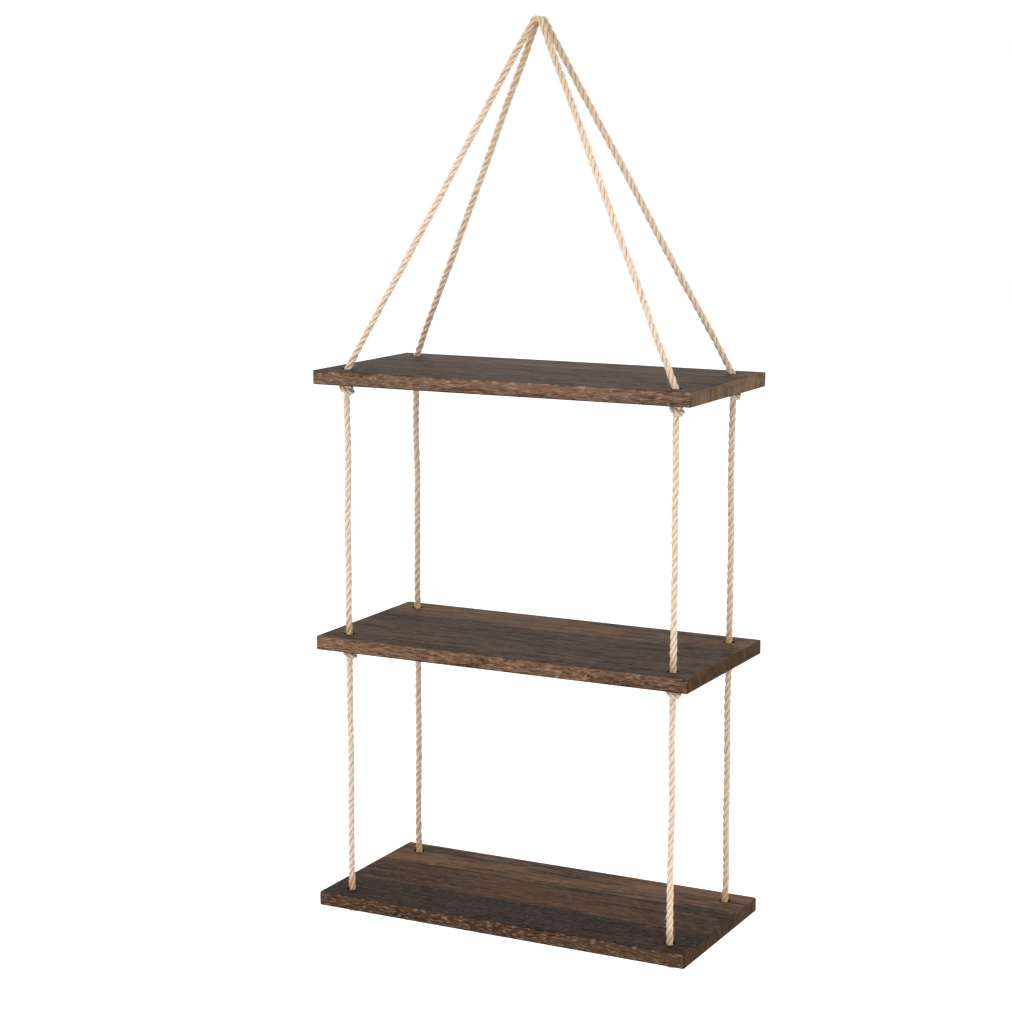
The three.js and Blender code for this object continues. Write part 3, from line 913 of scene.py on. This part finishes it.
# The rope over the hook, with the knots that hold the top board.
def hangTopRopes(rope, side):
    end = turnHeights["middle"] + ropes["blendReach"]
    stations = cutRope(rope[0], passing(rope, -1, end), passing(rope, 1, end))
    replaced = [side + "_left_top_rope", side + "_rope_over_hook", side + "_right_top_rope"]
    ropePiece(side + "_rope_to_hook", stations, "top_tier", replaced)


# One corner of a board: the bend under the board above, the free rope, and the knot that holds
# this board. The guide rope carries the board, so it is also laid as two bend pieces in the board's hole.
def hangCorner(rope, sides, corner, tier, above):
    board, isGuide = tier + "_board", corner == guideCorner
    hanging = corner + "_" + tier + "_rope"
    turn, foot, reach = turnHeights[tier], footHeights[tier], ropes["blendReach"]
    footReach = reach if isGuide else 0.0
    layBend(rope, sides, turn, (above, corner + "_" + tier + "_bend", hanging))
    free = stretchOf(rope, sides[0], turn - reach, foot + footReach)
    ropePiece(hanging + "_laid", free, hanging, [hanging])
    if isGuide:
        layBend(rope, sides, foot, (hanging, corner + "_" + tier + "_foot_bend", board), lowFirst=True)
    knot = board + "_" + corner + "_knot"
    knotEnd = turnHeights["bottom"] + reach if tier == "middle" else None
    tied = stretchOf(rope, sides[0], foot - footReach, knotEnd, highFirst=True)
    ropePiece(knot + "_tied", tied, board, [knot])


guideCorner = "front_left"  # where the part's own joints carry the lower boards

for side, sideY in (("front", -1), ("back", 1)):
    rope = wholeRope(sideY)
    hangTopRopes(rope, side)
    for end, sideX in (("left", -1), ("right", 1)):
        for tier, above in (("middle", "top_tier"), ("bottom", "middle_board")):
            hangCorner(rope, (sideX, sideY), side + "_" + end, tier, above)
    print(side, "rope laid:", len(rope[0]), "stations")

# A pale floor that the camera sees nearly white, an even sky, and two soft boxes aimed at the shelf.
studio = {
    "floorHeight": -1.30,
    "floorHalf": 12.0,
    "floorColour": (0.9, 0.9, 0.9, 1.0),
    "floorRoughness": 0.9,
    "floorSpecular": 0.1,
    "floorGlow": 0.45,
    "white": (1.0, 1.0, 1.0, 1.0),
    "sky": 0.97,
    "aim": (0, 0, -0.5),
    "key": {"place": (-1.5, -2.2, 0.9), "power": 15.0, "size": 1.6},
    "fill": {"place": (2.4, -1.2, 0.2), "power": 6.0, "size": 2.0},
}


def paleFloor():
    bm = bmesh.new()
    bmesh.ops.create_grid(bm, x_segments=1, y_segments=1, size=studio["floorHalf"])
    bmesh.ops.translate(bm, verts=bm.verts, vec=(0, 0, studio["floorHeight"]))
    mesh = bpy.data.meshes.new("floor")
    bm.to_mesh(mesh)
    bm.free()
    floor = bpy.data.objects.new("floor", mesh)
    bpy.context.scene.collection.objects.link(floor)
    material, tree, surface = newMaterial("paleFloor")
    surface.inputs["Base Color"].default_value = studio["floorColour"]
    surface.inputs["Roughness"].default_value = studio["floorRoughness"]
    surface.inputs["Specular IOR Level"].default_value = studio["floorSpecular"]
    surface.inputs["Emission Color"].default_value = studio["white"]
    seen = addNode(tree, "ShaderNodeLightPath").outputs["Is Camera Ray"]
    tree.links.new(calc(tree, "MULTIPLY", seen, studio["floorGlow"]), surface.inputs["Emission Strength"])
    mesh.materials.append(material)


# What the camera, gloss and glass see is white, and what lights the shelf is a little less.
def skyLight():
    world = bpy.data.worlds.new("paleSky")
    bpy.context.scene.world = world
    world.use_nodes = True
    tree = world.node_tree
    path = addNode(tree, "ShaderNodeLightPath").outputs
    mirrored = calc(tree, "MAXIMUM", path["Is Glossy Ray"], path["Is Transmission Ray"])
    seen = calc(tree, "MAXIMUM", path["Is Camera Ray"], mirrored)
    strength = calc(tree, "MULTIPLY_ADD", seen, 1.0 - studio["sky"], studio["sky"])
    background = tree.nodes["Background"]
    background.inputs["Color"].default_value = studio["white"]
    tree.links.new(strength, background.inputs["Strength"])


def softBox(name, box):
    data = bpy.data.lights.new(name, "AREA")
    data.energy = box["power"]
    data.size = box["size"]
    lamp = bpy.data.objects.new(name, data)
    bpy.context.scene.collection.objects.link(lamp)
    lamp.location = box["place"]
    lamp.rotation_mode = "QUATERNION"
    lamp.rotation_quaternion = (Vector(studio["aim"]) - Vector(box["place"])).to_track_quat("-Z", "Y")


paleFloor()
skyLight()
softBox("keySoftBox", studio["key"])
softBox("fillSoftBox", studio["fill"])
bpy.context.scene.view_settings.view_transform = "Standard"
print("studio lit")
